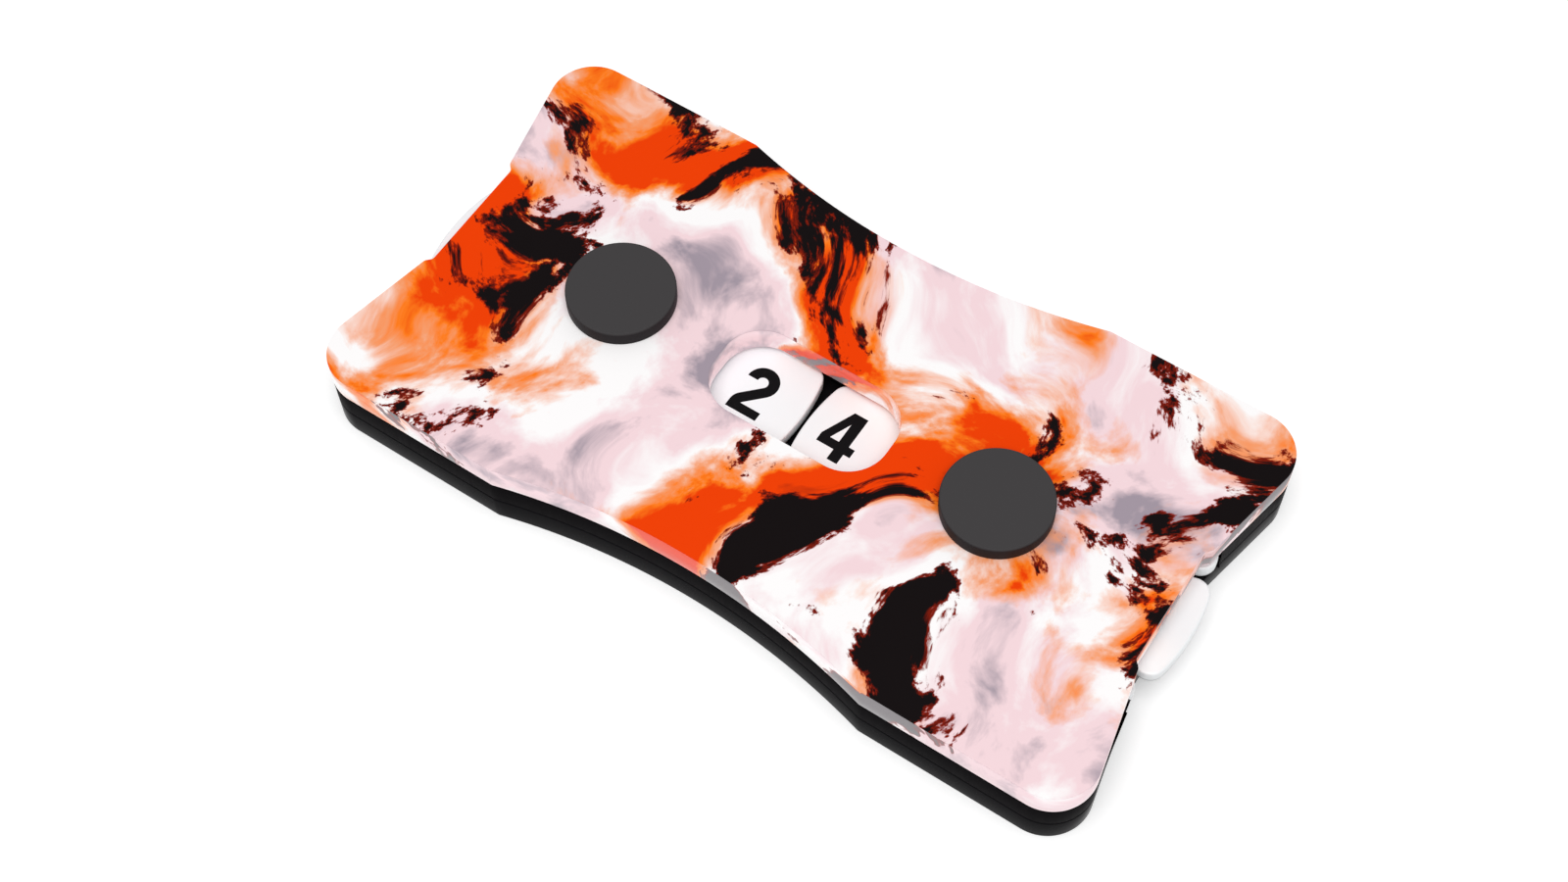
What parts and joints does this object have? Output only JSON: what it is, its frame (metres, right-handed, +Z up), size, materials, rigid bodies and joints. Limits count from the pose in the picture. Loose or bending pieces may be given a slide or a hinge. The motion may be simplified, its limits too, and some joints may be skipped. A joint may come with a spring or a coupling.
{
  "type": "life counter",
  "caption": "Pocket life counter: ten-lobed digit wheels turn between a printed clear plate and a black base, read through a window in the middle.",
  "frame": {"origin": "middle of the underside, at the bottom of the bounding box", "axes": "+X along the counter, in the reading direction of the digits; +Y up the digits; +Z up, out of the printed face"},
  "size_m": [0.0856, 0.0456, 0.0108],
  "materials": {
    "clear_plate": "clear acrylic sheet, laser cut, polished edge",
    "print": "satin full-colour print on the plate's upper face",
    "black_sheet": "black acrylic sheet, laser cut",
    "bonding_film": "thin black bonding film",
    "white_wheel": "white acrylic sheet, laser cut",
    "digit_paint": "black paint in engraved digits",
    "black_nylon": "moulded black nylon, satin",
    "washer_nylon": "natural nylon"
  },
  "bodies": {
    "case": {"base_plate": "black_sheet", "front_spacer": "black_sheet", "rear_spacer": "black_sheet", "front_lower_tape": "bonding_film", "front_upper_tape": "bonding_film", "rear_lower_tape": "bonding_film", "rear_upper_tape": "bonding_film", "top_plate": "clear_plate", "face_print": "print", "tens_post": "black_nylon", "ones_post": "black_nylon", "tens_post_screw": "black_nylon", "ones_post_screw": "black_nylon", "tens_lower_washer": "washer_nylon", "tens_upper_washer": "washer_nylon", "ones_lower_washer": "washer_nylon", "ones_upper_washer": "washer_nylon"},
    "tens_dial": {"tens_wheel": "white_wheel", "tens_numerals": "digit_paint"},
    "ones_dial": {"ones_wheel": "white_wheel", "ones_numerals": "digit_paint"}
  },
  "joints": [
    {"name": "tens_wheel_spin", "type": "hinge", "parent": "case", "child": "tens_dial", "pos_m": [-0.0215, 0, 0.00475], "axis": [0, 0, 1], "continuous": true},
    {"name": "ones_wheel_spin", "type": "hinge", "parent": "case", "child": "ones_dial", "pos_m": [0.0215, 0, 0.00475], "axis": [0, 0, 1], "continuous": true}
  ]
}
